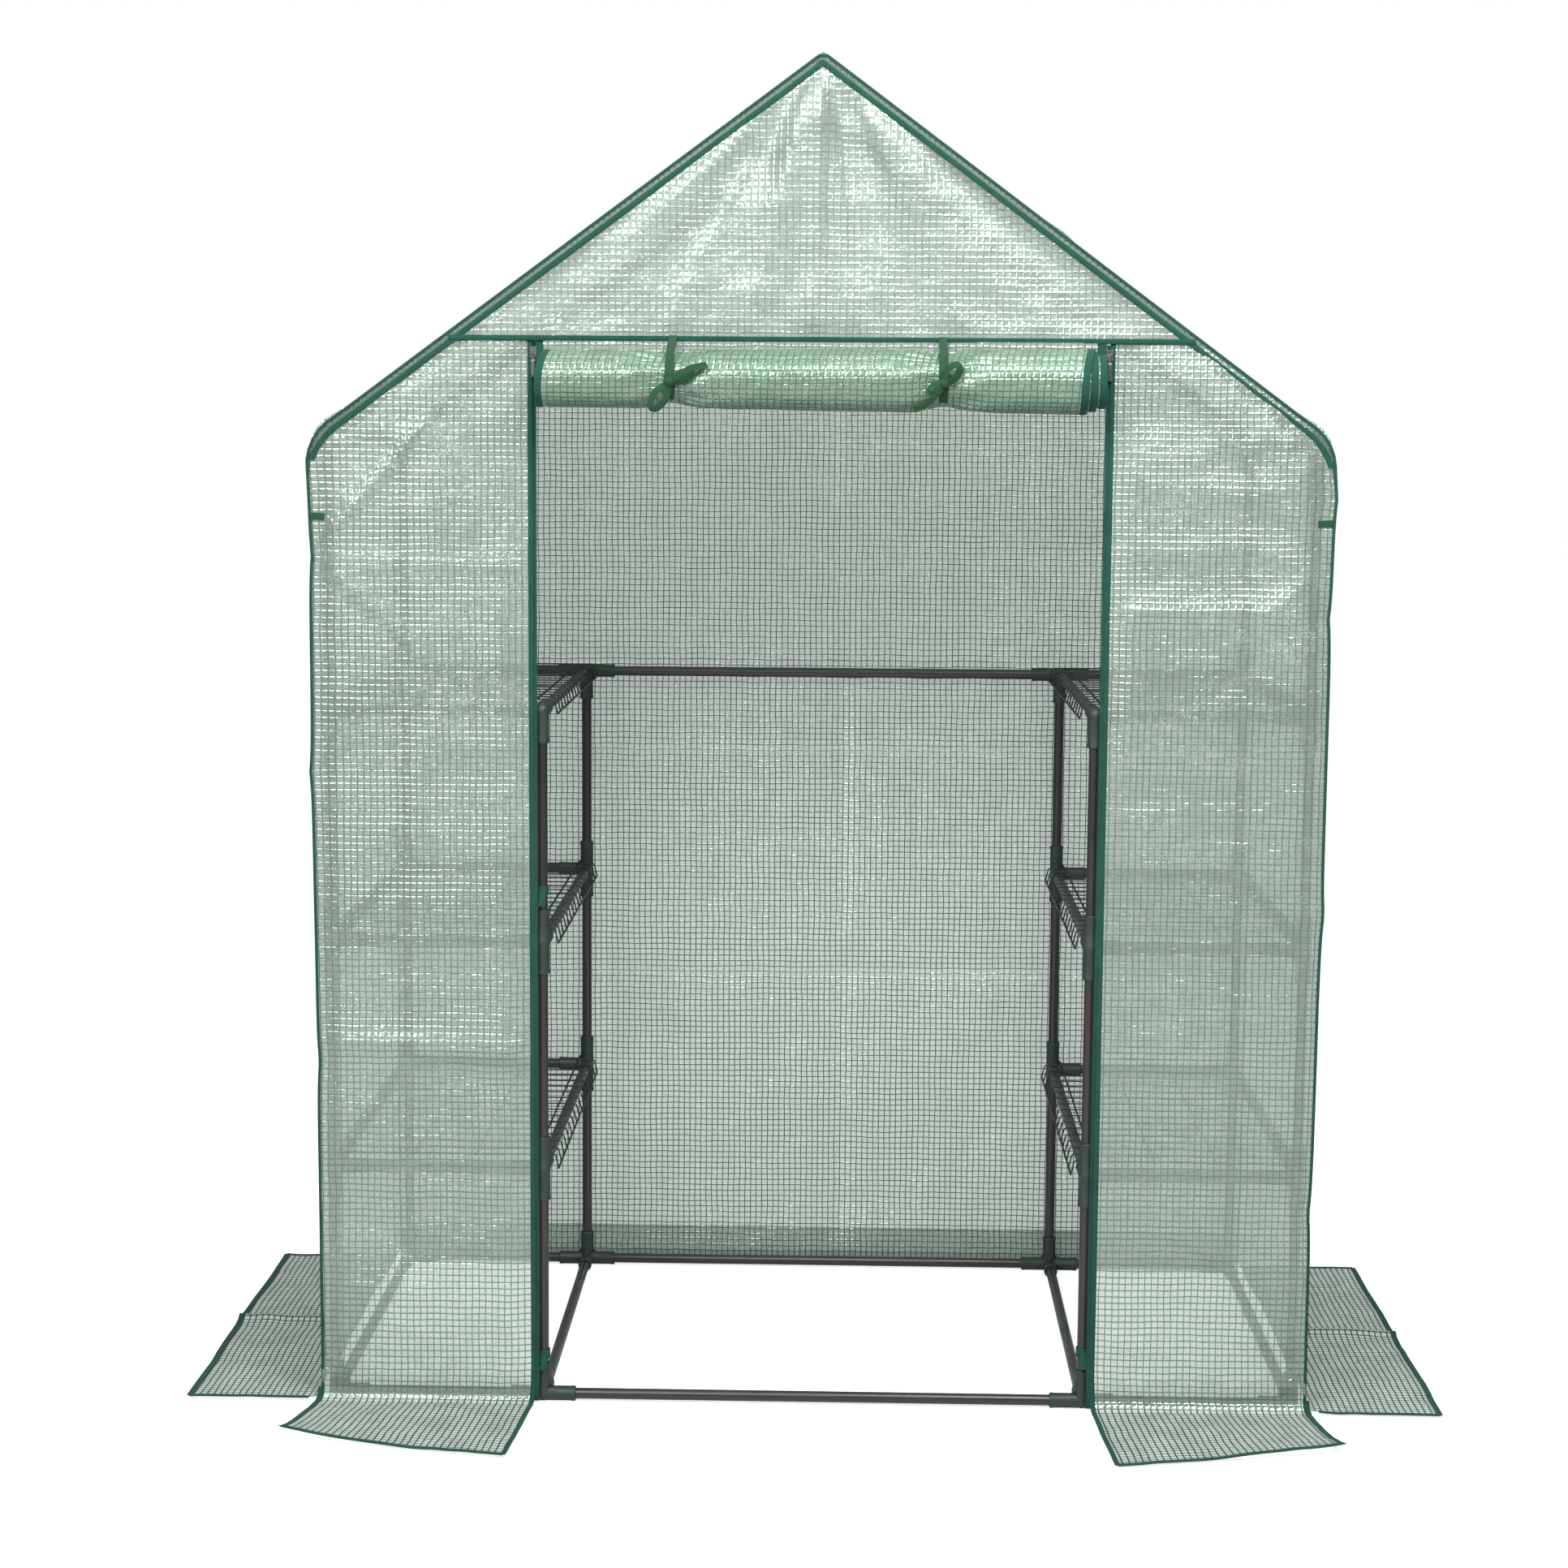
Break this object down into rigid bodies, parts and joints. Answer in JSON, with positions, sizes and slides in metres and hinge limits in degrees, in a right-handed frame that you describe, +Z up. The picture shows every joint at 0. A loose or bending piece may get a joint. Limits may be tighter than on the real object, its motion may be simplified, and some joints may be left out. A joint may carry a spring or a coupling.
{
  "type": "walk-in greenhouse",
  "caption": "Walk-in greenhouse: push-fit tube frame with wire shelf racks either side of an aisle, mesh-reinforced cover with ground skirts and a roll-up door",
  "frame": {"origin": "centre of the base on the floor, under the middle of the outline box", "axes": "+X to the right seen from the door, +Y from the door to the back, +Z up"},
  "size_m": [1.83, 1.15, 1.94],
  "materials": {
    "tube": "satin charcoal powder coat",
    "joint": "dark green-grey moulded polypropylene",
    "wire": "dark plastic-coated wire",
    "mesh_sheet": "translucent mesh-reinforced polyethylene sheet, glossy film",
    "ribbon": "woven green binding and ties",
    "zip_tape": "dark green woven zip tape",
    "zip_slider": "painted zinc zip slider"
  },
  "bodies": {
    "frame": {"left_front_rack_end": "tube", "left_back_rack_end": "tube", "left_outer_rail_base": "tube", "left_outer_rail_tier_1": "tube", "left_outer_rail_tier_2": "tube", "left_outer_rail_tier_3": "tube", "left_inner_rail_base": "tube", "left_inner_rail_tier_1": "tube", "left_inner_rail_tier_2": "tube", "left_inner_rail_tier_3": "tube", "right_front_rack_end": "tube", "right_back_rack_end": "tube", "right_outer_rail_base": "tube", "right_outer_rail_tier_1": "tube", "right_outer_rail_tier_2": "tube", "right_outer_rail_tier_3": "tube", "right_inner_rail_base": "tube", "right_inner_rail_tier_1": "tube", "right_inner_rail_tier_2": "tube", "right_inner_rail_tier_3": "tube", "front_base_crossbar": "tube", "back_base_crossbar": "tube", "back_tier_3_crossbar": "tube", "left_front_upper_post": "tube", "left_front_eave_elbow": "joint", "left_front_rafter": "tube", "left_back_upper_post": "tube", "left_back_eave_elbow": "joint", "left_back_rafter": "tube", "left_eave_rail": "tube", "right_front_upper_post": "tube", "right_front_eave_elbow": "joint", "right_front_rafter": "tube", "right_back_upper_post": "tube", "right_back_eave_elbow": "joint", "right_back_rafter": "tube", "right_eave_rail": "tube", "front_ridge_joint": "joint", "back_ridge_joint": "joint", "ridge_rail": "tube", "cover_left_side": "mesh_sheet", "cover_front_left": "mesh_sheet", "cover_right_side": "mesh_sheet", "cover_front_right": "mesh_sheet", "cover_back": "mesh_sheet", "cover_front_gable": "mesh_sheet", "left_zip_tape": "zip_tape", "left_door_tie": "ribbon", "right_zip_tape": "zip_tape", "right_door_tie": "ribbon"},
    "door": {"door_roll": "mesh_sheet"},
    "left_zip": {"left_zip_slider": "zip_slider"},
    "right_zip": {"right_zip_slider": "zip_slider"},
    "left_shelf_1_body": {"left_shelf_1": "wire"},
    "left_shelf_2_body": {"left_shelf_2": "wire"},
    "left_shelf_3_body": {"left_shelf_3": "wire"},
    "right_shelf_1_body": {"right_shelf_1": "wire"},
    "right_shelf_2_body": {"right_shelf_2": "wire"},
    "right_shelf_3_body": {"right_shelf_3": "wire"}
  },
  "joints": [
    {"name": "door_drop", "type": "slide", "parent": "frame", "child": "door", "axis": [0, 0, -1], "range_m": [0, 1.43]},
    {"name": "left_zip_run", "type": "slide", "parent": "frame", "child": "left_zip", "axis": [0, 0, -1], "range_m": [0, 1.4]},
    {"name": "right_zip_run", "type": "slide", "parent": "frame", "child": "right_zip", "axis": [0, 0, -1], "range_m": [0, 1.4]},
    {"name": "left_shelf_1_lift", "type": "slide", "parent": "frame", "child": "left_shelf_1_body", "axis": [0, 0, 1], "range_m": [0, 0.06]},
    {"name": "left_shelf_2_lift", "type": "slide", "parent": "frame", "child": "left_shelf_2_body", "axis": [0, 0, 1], "range_m": [0, 0.06]},
    {"name": "left_shelf_3_lift", "type": "slide", "parent": "frame", "child": "left_shelf_3_body", "axis": [0, 0, 1], "range_m": [0, 0.06]},
    {"name": "right_shelf_1_lift", "type": "slide", "parent": "frame", "child": "right_shelf_1_body", "axis": [0, 0, 1], "range_m": [0, 0.06]},
    {"name": "right_shelf_2_lift", "type": "slide", "parent": "frame", "child": "right_shelf_2_body", "axis": [0, 0, 1], "range_m": [0, 0.06]},
    {"name": "right_shelf_3_lift", "type": "slide", "parent": "frame", "child": "right_shelf_3_body", "axis": [0, 0, 1], "range_m": [0, 0.06]}
  ]
}
